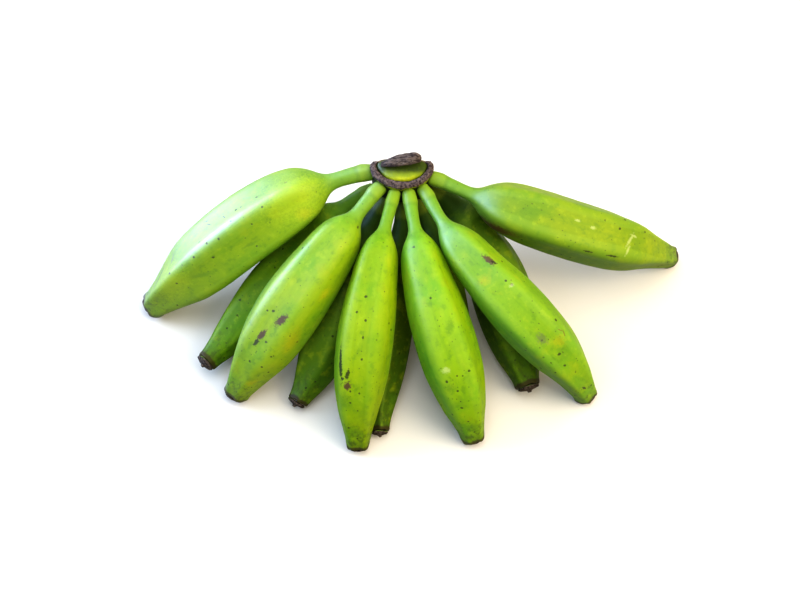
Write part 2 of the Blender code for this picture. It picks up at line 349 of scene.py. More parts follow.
peels = {}
tip_ways = {}
for index, name in enumerate(BANANAS):
    peel = smooth_copy("banana_" + name, "peel_" + name, PEEL_LEVELS, PEEL_CREASE_FROM, PEEL_CREASE)
    points, normals = points_of(peel), normals_of(peel)
    line = middle_line(points)
    middle = along_the_line(points, line)
    distance = middle[:, 0]
    share = distance / distance.max()
    tip_way = line[-1] - line[-1 - TIP_SLICES]
    tip_ways["cork_tip_" + name] = tip_way / np.linalg.norm(tip_way)
    radius = np.hypot(middle[:, 1], middle[:, 2])
    ridge = ridge_height(peel, radius)
    points += normals * swell_of(points, distance, share, radius, ridge, index)[:, None]
    if name in STALK_SHIFTS:
        shift, centre = STALK_SHIFTS[name]
        points[:, 0] += shift * hump(share, centre, STALK_SHIFT_REACH)
    above_floor(points)
    sink_into_crown(points, distance)
    set_points(peel, points)
    keep_numbers(peel, "peel", middle)
    keep_numbers(peel, "along", share)
    keep_numbers(peel, "ridge", np.clip(ridge / RIDGE_FULL, -1, 1))
    finish_piece(peel, "banana_" + name)
    peels[name] = peel
    print(peel.name, "length mm:", round(distance.max() * 1000), "faces:", len(peel.data.polygons))

# %% [markdown]
# ## Crown, cork rim, scab and flower ends
#
# The crown is a pad of green tissue. Round its upper edge runs a rim of cork where a leaf was attached,
# and on its top lies the dried, wrinkled scab of the cut. Each tip ends in a corky disc with a black nub,
# the remains of the flower. All of these are rough, so after the smoothing their points are pushed in and
# out by coarse and by fine noise, the more so the drier the piece. The nubs are then made shorter.

# %% Crown pieces and flower ends
Rough = namedtuple("Rough", "node name slot crease grain coarse coarse_depth fine fine_depth")

ROUGH_LEVELS = 3
ROUGH_CREASE_FROM = math.radians(30)
COARSE_SEED = 40
FINE_SEED = 60
NUB_FROM = 0.0024
NUB_SHORTENING = 0.45
EVEN = (1, 1, 1)
WRINKLED = (0.4, 1, 1.3)
ROUGH_PIECES = [
    Rough("crown", "crown_pad", "crown_green", 0.5, EVEN, 0.0070, 0.00030, 0.0020, 0.00008),
    Rough("bract_scar", "cork_rim", "cork", 0.8, EVEN, 0.0040, 0.00040, 0.0012, 0.00026),
    Rough("dried_cut", "cut_scab", "dried_scab", 0.6, WRINKLED, 0.0042, 0.00060, 0.0012, 0.00028),
]
for name in BANANAS:
    node, tip_name = "flower_end_" + name, "cork_tip_" + name
    tip = Rough(node, tip_name, "cork", 0.5, EVEN, 0.0030, 0.00030, 0.0011, 0.00020)
    ROUGH_PIECES.append(tip)

rough_pieces = {}
for index, rough in enumerate(ROUGH_PIECES):
    piece = smooth_copy(rough.node, rough.name, ROUGH_LEVELS, ROUGH_CREASE_FROM, rough.crease)
    points, normals = points_of(piece), normals_of(piece)
    push = rough.coarse_depth * lumps(points * rough.grain, rough.coarse, index + COARSE_SEED)
    push += rough.fine_depth * lumps(points * rough.grain, rough.fine, index + FINE_SEED)
    points += normals * push[:, None]
    above_floor(points)
    if rough.name in tip_ways:
        outwards = points @ tip_ways[rough.name]
        beyond = outwards - outwards.min()
        points -= NUB_SHORTENING * np.maximum(beyond - NUB_FROM, 0)[:, None] * tip_ways[rough.name]
        above_floor(points)
        keep_numbers(piece, "beyond_mm", beyond * 1000)
    set_points(piece, points)
    finish_piece(piece, rough.node)
    rough_pieces[rough.name] = piece
print(len(rough_pieces), "rough pieces")

# %% [markdown]
# ## The ragged rim
#
# The rim's lower margin is not even: between two stalks it hangs down in a ragged flap, and over each
# stalk it is short. Modelling every flap would take long, so the points of the lower, outer margin are
# drawn down instead, where their direction from the crown's middle lies between two stalks. The rim as a
# whole is pressed a little flatter.

# %% Ragged rim
STALK_TURNS = (-88, -50, -17, 15, 47, 75)
STALK_HALF_TURN = 11
FLAP_TURN = 8
FLAP_DROP = 0.0038
FLAP_OUT = 0.0003
FLAP_FROM = 0.0018
FLAP_EVEN_SHARE = 0.8
FLAP_RAGGED_SHARE = 0.5
RAGGED_SIZE = 0.0022
RAGGED_SEED = 77
OUTSIDE_BLEND = 0.001
RIM_SQUASH = 0.72
CROWN_MIDDLE_INSET = 0.0055

turning_point = Vector((CROWN_CENTRE.x, crown_high.y - CROWN_MIDDLE_INSET, 0))
rim = rough_pieces["cork_rim"]
points = points_of(rim)
away = points[:, :2] - np.array(turning_point[:2])
turns = np.degrees(np.arctan2(away[:, 0], -away[:, 1]))
to_stalk = np.min([np.abs(turns - stalk) for stalk in STALK_TURNS], axis=0)
between = np.clip((to_stalk - STALK_HALF_TURN) / FLAP_TURN, 0, 1)
rim_foot = points[:, 2].min()
lowness = np.clip(1 - (points[:, 2] - rim_foot) / FLAP_FROM, 0, 1)
ragged = FLAP_EVEN_SHARE + FLAP_RAGGED_SHARE * lumps(points * (1, 1, 0), RAGGED_SIZE, RAGGED_SEED)
reach = np.linalg.norm(away, axis=1)
middle_reach = (reach.min() + reach.max()) / 2
outside = np.clip((reach - middle_reach) / OUTSIDE_BLEND + 0.5, 0, 1)
flap = between * lowness * ragged * outside
points[:, 2] = rim_foot + RIM_SQUASH * (points[:, 2] - rim_foot)
points[:, 2] -= FLAP_DROP * flap
points[:, :2] += FLAP_OUT * flap[:, None] * away / reach[:, None]
set_points(rim, points)
print("flap points:", int((flap > 0).sum()))

# %% [markdown]
# ## The scab's thin end
#
# The left end of the scab runs out thinly until it meets the rim, so the points beyond a certain place
# are drawn further out and a little down.

# %% Thin end of the scab
SCAB_THIN_FROM = -0.0085
SCAB_STRETCH = 1.6
SCAB_SLOPE = 0.15

scab = rough_pieces["cut_scab"]
points = points_of(scab)
beyond = np.minimum(points[:, 0] - turning_point.x - SCAB_THIN_FROM, 0)
points[:, 0] += beyond * (SCAB_STRETCH - 1)
points[:, 2] += beyond * SCAB_SLOPE
set_points(scab, points)
print("scab's thin end reaches out by mm:", round(-beyond.min() * SCAB_STRETCH * 1000, 1))

# %% [markdown]
# ## Shader maths as plain expressions
#
# A finish is built from dozens of small shader nodes. Wiring them by hand hides the idea, so one small
# class wraps a socket and gives it plus, minus and times. An expression on such values adds its own Math
# nodes.

# %% Shader maths
class Wire:
    """A socket of a material, so that maths on it reads as maths."""

    def __init__(self, finish, socket):
        self.finish = finish
        self.socket = socket

    def _math(self, operation, first, second):
        return self.finish.node("ShaderNodeMath", {"operation": operation}, {0: first, 1: second})

    def __add__(self, other):
        return self._math("ADD", self, other)

    __radd__ = __add__

    def __sub__(self, other):
        return self._math("SUBTRACT", self, other)

    def __rsub__(self, other):
        return self._math("SUBTRACT", other, self)

    def __mul__(self, other):
        return self._math("MULTIPLY", self, other)

    __rmul__ = __mul__

    def __or__(self, other):
        """The larger of two masks."""
        return self._math("MAXIMUM", self, other)


# %% [markdown]
# ## One class for a finish
#
# Every other node comes from one method that takes its kind, its settings and the values of its sockets.
# The few nodes that this lesson uses often, such as noise and a blend of two colours, get short names.

# %% Material helpers
Grain = namedtuple("Grain", "stretch scale detail roughness")


def tint(code):
    """A colour written as RRGGBB, as the linear numbers that a shader takes."""
    channels = [int(code[i:i + 2], 16) / 255 for i in (0, 2, 4)]
    return tuple(c / 12.92 if c <= 0.04045 else ((c + 0.055) / 1.055) ** 2.4 for c in channels) + (1.0,)


class Nodes:
    """A node tree and the few ways in which this lesson adds to it."""

    def __init__(self, tree):
        self.tree = tree

    def node(self, kind, settings, values, output=0):
        """Adds a node, sets its settings first, then fills its sockets, and gives one output."""
        made = self.tree.nodes.new(kind)
        for key, value in settings.items():
            setattr(made, key, value)
        for key, value in values.items():
            self._fill(made.inputs[key], value)
        return Wire(self, made.outputs[output])

    def _fill(self, socket, value):
        if isinstance(value, Wire):
            self.tree.links.new(value.socket, socket)
        else:
            socket.default_value = value

    def stretch(self, vector, factors):
        return self.node("ShaderNodeVectorMath", {"operation": "MULTIPLY"}, {0: vector, 1: factors})

    def clouds(self, vector, grain):
        """Soft noise of the given grain, from 0 to 1 and mostly near 0.5."""
        values = {"Vector": self.stretch(vector, grain.stretch), "Scale": grain.scale}
        values.update({"Detail": grain.detail, "Roughness": grain.roughness})
        return self.node("ShaderNodeTexNoise", {}, values)

    def cells(self, vector, scale, output="Distance"):
        """Cells with one point each: the distance to it, or with Color a random number for each cell."""
        return self.node("ShaderNodeTexVoronoi", {}, {"Vector": vector, "Scale": scale}, output)

    def fade(self, value, low, high):
        """0 where the value is at low, 1 where it is at high, smooth between. Low may be the larger."""
        values = {"Value": value, "From Min": low, "From Max": high}
        return self.node("ShaderNodeMapRange", {"interpolation_type": "SMOOTHSTEP"}, values)

    def blend(self, mask, first, second):
        """The first colour where the mask is 0 and the second where it is 1."""
        return self.node("ShaderNodeMix", {"data_type": "RGBA"}, {0: mask, 6: first, 7: second}, 2)


class Finish(Nodes):
    """One material: its Principled shader and the nodes that feed it."""

    def __init__(self, name):
        self.material = bpy.data.materials.new(name)
        self.material.use_nodes = True
        super().__init__(self.material.node_tree)
        self.shader = self.tree.nodes["Principled BSDF"]

    def set(self, socket, value):
        self._fill(self.shader.inputs[socket], value)

    def place(self):
        return self.node("ShaderNodeTexCoord", {}, {}, "Object")

    def stored(self, name, output="Fac"):
        return self.node("ShaderNodeAttribute", {"attribute_name": name}, {}, output)

    def bump(self, height, distance):
        values = {"Height": height, "Distance": distance, "Strength": 1.0}
        self.set("Normal", self.node("ShaderNodeBump", {}, values))


# %% [markdown]
# ## Marks on the skin
#
# Bruises, scars and scratches make each banana its own. Painting them by image is one way, but a list of
# marks is smaller and never blurs: each mark is an oval on the skin, given by where the camera sees it,
# its length, width and slope. A ray from the camera finds the place on the peel, and a Mapping node turns
# the oval so that its long side lies along the skin.

# %% Find a mark's place on a peel
Mark = namedtuple("Mark", "kind x y length width slope")

FOCAL_PIXELS = FOCAL_MM / SENSOR_MM * IMAGE_WIDTH
SLOPE_STEP = 1.5


def surface_of(piece):
    """The piece's surface as a tree that a ray can be tested against."""
    polygons = [polygon.vertices[:] for polygon in piece.data.polygons]
    return BVHTree.FromPolygons([v.co for v in piece.data.vertices], polygons)


def seen_point(surface, x, y):
    """The point of a surface, with its normal, that the camera sees at a pixel."""
    turn = camera.rotation_euler.to_matrix()
    ray = turn @ Vector(((x - IMAGE_WIDTH / 2) / FOCAL_PIXELS, (IMAGE_HEIGHT / 2 - y) / FOCAL_PIXELS, -1))
    place, normal, _, _ = surface.ray_cast(camera.location, ray.normalized())
    return place, normal


def mark_frame(surface, mark):
    """Centre, turning and half sizes of a mark, in metres. None if the camera does not see it there."""
    slope = math.radians(mark.slope)
    centre, normal = seen_point(surface, mark.x, mark.y)
    if centre is None:
        return None
    step_x, step_y = SLOPE_STEP * math.cos(slope), SLOPE_STEP * math.sin(slope)
    ahead, _ = seen_point(surface, mark.x + step_x, mark.y - step_y)
    if ahead is None:
        return None
    long_way = ahead - centre
    long_way = (long_way - long_way.dot(normal) * normal).normalized()
    across = normal.cross(long_way)
    metres_per_pixel = (camera.location - centre).length / FOCAL_PIXELS
    turn = Matrix((long_way, across, normal)).transposed().to_euler()
    half = (mark.length / 2 * metres_per_pixel, mark.width / 2 * metres_per_pixel)
    return centre, turn, (half[0], half[1], max(half))


def mark_mask(finish, wobble, frame_of_mark, softness):
    """1 inside the oval of a mark and 0 outside, with a ragged edge as soft as is asked."""
    centre, turn, half = frame_of_mark
    values = {"Vector": finish.place(), "Location": centre, "Rotation": turn, "Scale": half}
    oval = finish.node("ShaderNodeMapping", {"vector_type": "TEXTURE"}, values)
    distance = finish.node("ShaderNodeVectorMath", {"operation": "LENGTH"}, {0: oval}, "Value")
    return finish.fade(distance + wobble, 1.0 + softness / 2, 1.0 - softness / 2)


# %% [markdown]
# ## The list of marks
#
# Each mark was read off the photograph: its kind, the pixel at its middle, its length and width in
# pixels, and its slope in degrees. Of the lower row little shows, so it has few.

# %% Marks of the bananas
MARKS = {
    "upper_1": [
        Mark("yellow", 304, 213.5, 15, 11, 0), Mark("scar", 209, 224.5, 7, 1.0, -10),
        Mark("scar", 206, 221.5, 6, 0.8, 20), Mark("scar", 224, 217, 4.5, 1.2, -35),
        Mark("speck", 230.6, 221.2, 2.2, 2, 0), Mark("speck", 240.8, 207, 2, 1.8, 0),
        Mark("speck", 262.2, 207, 2, 1.8, 0), Mark("grey", 172.5, 259, 9, 3.5, 75),
        Mark("speck", 169.4, 273.3, 2.8, 2.4, 0), Mark("speck", 193.9, 257.3, 2.4, 2, 0),
        Mark("speck", 213.3, 257.3, 2.4, 2, 0), Mark("speck", 176.5, 283.5, 2.4, 2, 0),
        Mark("speck", 218.4, 239, 2, 2, 0), Mark("smudge", 202, 275, 22, 5, 14),
        # The crease mark on upper_1 is painted shade along a fold of the peel.
        Mark("smudge", 251, 244, 17, 3, 27), Mark("crease", 160, 276, 28, 2, 66),
        Mark("lime", 292, 197, 56, 40, 20), Mark("lime", 172, 285, 40, 24, 60),
    ],
    "upper_2": [
        Mark("bruise", 281, 320.5, 15, 7.5, 38), Mark("bruise", 262, 334.5, 13, 5.5, 48),
        Mark("scar", 256, 342.5, 8, 3.6, 40), Mark("speck", 273.5, 311, 2.8, 2.6, 0),
        Mark("speck", 246, 318, 2.8, 2.6, 0), Mark("speck", 267, 310.4, 2, 1.8, 0),
        Mark("speck", 266.3, 342, 2.6, 2.4, 0), Mark("speck", 236.7, 342, 2, 4, 0),
        Mark("speck", 249.6, 361.4, 2.4, 2.2, 0), Mark("speck", 271.4, 356.7, 2, 2, 0),
        Mark("speck", 261.8, 367, 2.2, 2, 0), Mark("yellow", 292, 341, 26, 15, 65),
        Mark("yellow", 325, 294, 15, 8, 50), Mark("yellow", 252, 383, 12, 6, 20),
        Mark("speck", 358, 227, 3.4, 3, 0), Mark("speck", 290, 336, 2, 1.6, 0),
    ],
    "upper_3": [
        Mark("slit", 340.3, 362.5, 34, 4.2, 89), Mark("scar", 347.5, 374.5, 9, 3.4, 70),
        Mark("bruise", 347.3, 386, 9, 7, 80), Mark("speck", 366, 296.5, 3, 2.4, 0),
        Mark("speck", 356.7, 312, 2.4, 2.2, 0), Mark("speck", 363.3, 337.5, 2, 3, 0),
        Mark("speck", 361.8, 359.4, 2, 2.4, 0), Mark("speck", 391, 329.8, 2.6, 2.4, 0),
        Mark("speck", 349, 427.8, 3, 2.2, 0), Mark("smudge", 345, 400, 14, 9, 80),
    ],
    "upper_4": [
        Mark("speck", 413.7, 247, 2.8, 2.6, 0), Mark("smudge", 450, 326.7, 14, 7, 80),
        Mark("smudge", 451, 388, 10, 8, 0), Mark("speck", 462.7, 376, 2, 1.6, 0),
        Mark("speck", 457, 376, 2, 1.6, 0), Mark("speck", 462, 408, 3, 2, 0),
        Mark("speck", 452.4, 414.5, 2.4, 2, 0), Mark("speck", 468.4, 421.6, 2.4, 2, 0),
        # The pale mark on upper_4 is a painted highlight.
        Mark("pale_scar_and_highlight", 446, 370.6, 7, 6, 0),
    ],
    "upper_5": [
        Mark("bruise", 489, 260, 16, 6, -35), Mark("scar", 493.5, 262.2, 8, 2.6, -30),
        # The pale mark on upper_5 is a painted highlight.
        Mark("pale_scar_and_highlight", 511.6, 285.3, 4.5, 3.4, 20), Mark("speck", 505.9, 280.8, 2.6, 2.2, 0),
        Mark("grey", 542, 339, 13, 8, -38), Mark("speck", 559.2, 353.9, 3.4, 3, 0),
        Mark("speck", 564.7, 365.5, 2.8, 2.4, 0), Mark("speck", 525.3, 350.2, 2.6, 2.2, 0),
        Mark("speck", 540.6, 368, 3.4, 2.2, 0), Mark("speck", 530, 365.5, 2.2, 2, 0),
        Mark("speck", 555.5, 372.7, 2, 2, 0), Mark("scratch", 564, 333, 9, 1.2, -70),
        Mark("yellow", 559, 341, 13, 11, 0), Mark("yellow", 484, 281, 9, 7, 0),
        Mark("scratch", 560, 330, 6, 1.0, -20), Mark("scar", 584, 388, 7, 2.4, -30),
    ],
    "upper_6": [
        Mark("russet", 495, 228, 40, 15, -24), Mark("slit", 619, 212.4, 25, 2.4, -16),
        Mark("pale_scar_and_highlight", 630, 240, 14, 3, 60), Mark("pale_scar_and_highlight", 628, 250, 11, 2.6, 70),
        Mark("pale_scar_and_highlight", 634, 236, 8, 2.2, -30), Mark("scar", 588, 251.5, 9, 2, -12),
        Mark("scar", 612, 256, 12, 2, -8), Mark("speck", 619.8, 228.8, 2.6, 2.2, 0),
        Mark("pale_scar_and_highlight", 593.3, 227.8, 5, 3, -10), Mark("pale_scar_and_highlight", 578, 220.6, 6, 2.4, -14),
        Mark("speck", 660, 236, 2.2, 2, 0), Mark("speck", 645, 232, 2.2, 2, 0),
    ],
    "lower_1": [Mark("speck", 240, 300, 2.4, 2.2, 0), Mark("smudge", 214, 345, 12, 5, 60)],
    "lower_2": [Mark("speck", 306, 388, 2.2, 2, 0)],
    "lower_3": [Mark("smudge", 391, 405, 14, 5, 80)],
    "lower_4": [Mark("speck", 515, 360, 2.2, 2, 0)],
    "lower_5": [],
}
print(sum(len(marks) for marks in MARKS.values()), "marks")

# %% [markdown]
# ## How far the flower end is
#
# The neck of a banana is dull and stained just before the corky end. That stain follows the end's own
# ragged edge, so each point of a peel keeps its distance to the nearest point of its flower end.

# %% Distance to the flower end
for name in BANANAS:
    flower_end = surface_of(rough_pieces["cork_tip_" + name])
    gaps = [flower_end.find_nearest(vertex.co)[3] for vertex in peels[name].data.vertices]
    keep_numbers(peels[name], "from_end_mm", np.array(gaps) * 1000)
print("furthest point of the last peel, mm:", round(max(gaps) * 1000))

# %% [markdown]
# ## The skin's patterns
#
# Green banana skin is waxy, neither dull nor glossy, and nowhere one even green. Several noise patterns
# of different grain make that: broad patches, streaks along the fruit, mottle, blotches, and the smears
# near the tip. They read the coordinates that follow the fruit, so they bend with it. A painted image
# could show the same, but it would need unwrapping and would blur close up.

# %% Patterns of the skin
GRAINS = {
    "patches": Grain((0.6, 1.0, 1.0), 38.0, 3.0, 0.50),
    "streaks": Grain((0.06, 1.0, 1.0), 380.0, 3.0, 0.60),
    "mottle": Grain(EVEN, 230.0, 4.0, 0.62),
    "blotches": Grain(EVEN, 95.0, 4.0, 0.60),
    "smears": Grain((0.5, 1.0, 1.0), 420.0, 4.0, 0.65),
    "grain": Grain(EVEN, 1200.0, 2.0, 0.50),
}


def skin_patterns(finish):
    """Every pattern and stored number that the skin's colour depends on, by its name."""
    peel = finish.stored("peel", "Vector")
    patterns = {name: finish.clouds(peel, grain) for name, grain in GRAINS.items()}
    patterns["peel"] = peel
    for name in ("along", "ridge", "from_end_mm"):
        patterns[name] = finish.stored(name)
    return patterns


# %% [markdown]
# ## Coats of colour
#
# The skin is painted in thin coats, as a painter glazes. Each coat has a tint and a strength, and covers
# the skin where a pattern passes from one value to another. The table keeps all the coats in one place,
# so that a tint can be tried without reading the code that lays it.

# %% Coats of the skin
Coat = namedtuple("Coat", "low high strength tint")

COATS = {
    "streaks": Coat(0.50, 0.75, 0.22, "5B8F1C"),
    "light_mottle": Coat(0.52, 0.72, 0.30, "B9CC2C"),
    "dark_mottle": Coat(0.47, 0.30, 0.42, "5A861C"),
    "dull_blotches": Coat(0.50, 0.66, 1.00, "648C22"),
    "light_blotches": Coat(0.46, 0.32, 0.30, "ACB814"),
    "ridges": Coat(0.20, 1.00, 0.14, "A9CC4A"),
    "stalk": Coat(0.20, 0.12, 0.55, "7CA83E"),
    "knob": Coat(0.055, 0.035, 0.26, "A9B82C"),
    "joint": Coat(0.040, 0.048, 0.16, "4F6A1C"),
    "tip": Coat(13.0, 3.0, 0.42, "54701E"),
    "grime": Coat(0.48, 0.62, 0.62, "4A5A1E"),
    "edge": Coat(3.8, 2.3, 0.85, "43331F"),
}
LIME_FROM, LIME_FULL = 0.36, 0.64
DULL_EVERYWHERE, DULL_AT_TIP = 0.12, 0.26
DULL_FROM, DULL_FULL = 0.45, 0.90


def lay(finish, colour, name, value, share=None):
    """Lays one coat over the colour, as thick as the value and the share ask for."""
    coat = COATS[name]
    mask = finish.fade(value, coat.low, coat.high) * coat.strength
    if share is not None:
        mask = mask * share
    return finish.blend(mask, colour, tint(coat.tint))


def greens(finish, read, green, lime):
    """The skin's greens from end to end: patches, streaks, mottle, blotches and lighter ridges."""
    colour = finish.blend(finish.fade(read["patches"], LIME_FROM, LIME_FULL), green, lime)
    colour = lay(finish, colour, "streaks", read["streaks"])
    colour = lay(finish, colour, "light_mottle", read["mottle"])
    colour = lay(finish, colour, "dark_mottle", read["mottle"])
    dull = DULL_EVERYWHERE + DULL_AT_TIP * finish.fade(read["along"], DULL_FROM, DULL_FULL)
    colour = lay(finish, colour, "dull_blotches", read["blotches"], dull)
    colour = lay(finish, colour, "light_blotches", read["blotches"])
    return lay(finish, colour, "ridges", read["ridge"])


# %% [markdown]
# ## The two ends of a banana
#
# A stalk is paler than the body, with a yellowish knob and a faint darker joint at its root. Most stalks
# of the lower row lie under the upper row, and painted shade darkens them there to a deep green. At the
# other end the skin turns olive and stained, and a thin brown edge borders the cork.

# %% Ends of the skin
# Painted shade on the lower row's stalks and shoulders, where they lie under the upper row.
PAINTED_SHADE_TINT = tint("1F3C0E")
PAINTED_SHADE_STRENGTH = 0.80
PAINTED_SHADE_FULL_SHARE = 0.4
PAINTED_SHADE_WANDER = 0.05
ROOT_WANDER = 0.02
JOINT_END_FROM, JOINT_END_FULL = 0.064, 0.054
TIP_WANDER_MM = 22.0
EDGE_WANDER_MM = 3.0
GRIME_FROM_MM, GRIME_FULL_MM = 30.0, 6.0


def ends(finish, read, colour, painted_shade_reach):
    """The stalk and the tip. Without a painted shade reach the stalk gets no painted shade and stays
    light.
    """
    along, mottle, from_end = read["along"], read["mottle"], read["from_end_mm"]
    colour = lay(finish, colour, "stalk", along)
    if painted_shade_reach:
        # Painted shade: the stalk and shoulder darken towards the crown, where the upper row shades them.
        shade = finish.fade(along + mottle * PAINTED_SHADE_WANDER, painted_shade_reach, painted_shade_reach * PAINTED_SHADE_FULL_SHARE)
        colour = finish.blend(shade * PAINTED_SHADE_STRENGTH, colour, PAINTED_SHADE_TINT)
    root = along + mottle * ROOT_WANDER
    colour = lay(finish, colour, "knob", root)
    colour = lay(finish, colour, "joint", root, finish.fade(root, JOINT_END_FROM, JOINT_END_FULL))
    colour = lay(finish, colour, "tip", from_end + (mottle - 0.5) * TIP_WANDER_MM)
    near_end = finish.fade(from_end, GRIME_FROM_MM, GRIME_FULL_MM)
    colour = lay(finish, colour, "grime", read["smears"], near_end)
    return lay(finish, colour, "edge", from_end + (mottle - 0.5) * EDGE_WANDER_MM)


# %% [markdown]
# ## Specks
#
# Tiny dark specks are scattered over the skin and crowd towards the tip. Space is divided into cells with
# one point each. A cell gets a speck round its point where the cell's own random number is high enough,
# and the number asked for falls along the fruit. There are larger specks with ragged edges and fine ones.

# %% Specks
SPECK_SCALE = 240.0
SPECK_RADIUS = 0.150
SPECK_BLUR = 0.05
SPECK_RAGGED = 0.08
SPECK_SIZE_FROM = 0.6
SPECK_SIZE_SPREAD = 0.12
SPECK_TOWARDS_TIP = 0.28
SPECK_RARE_FROM, SPECK_RARE_FULL = 0.90, 0.96
SPECK_STRENGTH = 0.80
SPECK_TINT = tint("38401A")
FINE_SCALE = 520.0
FINE_OUTER, FINE_INNER = 0.24, 0.16
FINE_TOWARDS_TIP = 0.15
FINE_RARE_FROM, FINE_RARE_FULL = 0.78, 0.88
FINE_STRENGTH = 0.62
FINE_TINT = tint("46581E")


def large_specks(finish, read):
    """Mask of the larger specks."""
    distance = finish.cells(read["peel"], SPECK_SCALE)
    chance = finish.cells(read["peel"], SPECK_SCALE, "Color")
    rare = finish.fade(chance + read["along"] * SPECK_TOWARDS_TIP, SPECK_RARE_FROM, SPECK_RARE_FULL)
    extra = (chance - SPECK_SIZE_FROM) * SPECK_SIZE_SPREAD
    distance = distance + read["grain"] * SPECK_RAGGED - extra
    return finish.fade(distance, SPECK_RADIUS + SPECK_BLUR, SPECK_RADIUS) * rare


def fine_specks(finish, read):
    """Mask of the fine specks."""
    distance = finish.cells(read["peel"], FINE_SCALE)
    chance = finish.cells(read["peel"], FINE_SCALE, "Color")
    rare = finish.fade(chance + read["along"] * FINE_TOWARDS_TIP, FINE_RARE_FROM, FINE_RARE_FULL)
    return finish.fade(distance, FINE_OUTER, FINE_INNER) * rare


# %% [markdown]
# ## Painting the marks
#
# Every kind of mark has its own tint, strength and softness of edge. The ovals of one kind are joined
# into one mask first, so that each kind takes a single coat. Noise on the ovals' edges makes them ragged.
# A mark that the camera doesn't see on its banana is left out.

# %% Paint the marks
MARK_TINTS = {
    "yellow": (tint("C8BC10"), 0.40, 1.6),
    "lime": (tint("C4DC30"), 0.45, 1.6),
    "smudge": (tint("5F8A1C"), 0.50, 1.4),
    # On upper_4 and upper_5 pale marks are painted highlights; on upper_6 they are pale scars.
    "pale_scar_and_highlight": (tint("D5DE9A"), 0.48, 1.2),
    "grey": (tint("6C7350"), 0.60, 1.2),
    "russet": (tint("6E3410"), 0.85, 1.2),
    "bruise": (tint("5C4232"), 0.92, 0.6),
    "scratch": (tint("7A5F22"), 0.70, 0.5),
    # Crease marks are painted shade in a fold of the peel.
    "crease": (tint("3E6418"), 0.70, 0.9),
    "speck": (tint("2C3414"), 0.85, 0.8),
    "scar": (tint("2A2616"), 0.85, 0.6),
    "slit": (tint("1E2A0C"), 0.90, 0.5),
}
MARK_EDGE = Grain(EVEN, 800.0, 4.0, 0.70)
MARK_EDGE_DEPTH = 3.0


def paint_marks(finish, colour, name):
    """Lays all the marks of one banana over its colour, kind by kind."""
    surface = surface_of(peels[name])
    wobble = (finish.clouds(finish.place(), MARK_EDGE) - 0.5) * MARK_EDGE_DEPTH
    for kind, (shade, strength, softness) in MARK_TINTS.items():
        frames = [mark_frame(surface, mark) for mark in MARKS[name] if mark.kind == kind]
        masks = [mark_mask(finish, wobble, seen, softness) for seen in frames if seen]
        if masks:
            whole = masks[0]
            for mask in masks[1:]:
                whole = whole | mask
            colour = finish.blend(whole * strength, colour, shade)
    return colour


# %% [markdown]
# ## Eleven skins
#
# All the skins share one recipe, and each gets its own two greens, its own sheen and its own marks. The
# lower row is painted a deeper green than the upper: partly its own tone, partly painted shade from the
# row above. How strongly the skin mirrors the window differs, because some bananas have lost their wax.

# %% Skins
SKIN_LOOKS = {
    "upper_1": ("76A41C", "8EAE14", 0.50),
    "upper_2": ("7AAA1C", "96B410", 0.36),
    "upper_3": ("7CA816", "96B20C", 0.10),
    "upper_4": ("78AE1C", "94B80E", 0.17),
    "upper_5": ("70A622", "88B018", 0.28),
    "upper_6": ("72981C", "8CA414", 0.28),
    # The lower row's darker greens hold painted shade from the upper row as well as their own tone.
    "lower_1": ("588816", "6E9410", 0.07),
    "lower_2": ("527C1A", "668814", 0.12),
    "lower_3": ("4A6A12", "58720E", 0.08),
    "lower_4": ("55780E", "66840C", 0.10),
    "lower_5": ("527C16", "628610", 0.08),
}
# How far from the crown each lower banana gets painted shade, as a share of its length.
PAINTED_SHADE_REACH = {"lower_2": 0.45, "lower_3": 0.45, "lower_4": 0.30, "lower_5": 0.50}
SKIN_ROUGHNESS = 0.46
PATCH_ROUGHNESS = 0.10
MOTTLE_ROUGHNESS = 0.08
SPECK_ROUGHNESS = 0.20
MOTTLE_HEIGHT = 0.6
STREAK_HEIGHT = 0.4
BLOTCH_HEIGHT = 0.8
SKIN_BUMP = 0.00018


def banana_skin(name):
    """One banana's whole skin."""
    green, lime, sheen = SKIN_LOOKS[name]
    finish = Finish("skin_" + name)
    read = skin_patterns(finish)
    colour = greens(finish, read, tint(green), tint(lime))
    colour = ends(finish, read, colour, PAINTED_SHADE_REACH.get(name))
    specks = large_specks(finish, read)
    colour = finish.blend(specks * SPECK_STRENGTH, colour, SPECK_TINT)
    colour = finish.blend(fine_specks(finish, read) * FINE_STRENGTH, colour, FINE_TINT)
    finish.set("Base Color", paint_marks(finish, colour, name))
    dullness = SKIN_ROUGHNESS + read["patches"] * PATCH_ROUGHNESS + read["mottle"] * MOTTLE_ROUGHNESS
    finish.set("Roughness", dullness + specks * SPECK_ROUGHNESS)
    finish.set("Specular IOR Level", sheen)
    relief = read["mottle"] * MOTTLE_HEIGHT + read["streaks"] * STREAK_HEIGHT
    finish.bump(relief + read["blotches"] * BLOTCH_HEIGHT - specks, SKIN_BUMP)
    return finish.material


for name in BANANAS:
    peels[name].data.materials.append(banana_skin(name))
print(len(SKIN_LOOKS), "skins")

# %% [markdown]
# ## Crown tissue
#
# The pad is yellow-green and fibrous in front. Next to the scab it is darkened by painted shadow from the
# scab's raised lip, and low on its sides by painted shade between the stalks. Its back, where the hand was
# cut from the stem, has dried to wrinkled brown. Bands at measured depths from the front, the top and the
# back place these colours, and a broad noise makes the bands' edges wander.

# %% Crown tissue
PAD_FIBRES = Grain((1.0, 1.0, 0.25), 600.0, 3.0, 0.60)
PAD_PATCHES = Grain(EVEN, 160.0, 3.0, 0.50)
PAD_WRINKLES = Grain((1.0, 1.0, 0.40), 300.0, 5.0, 0.68)
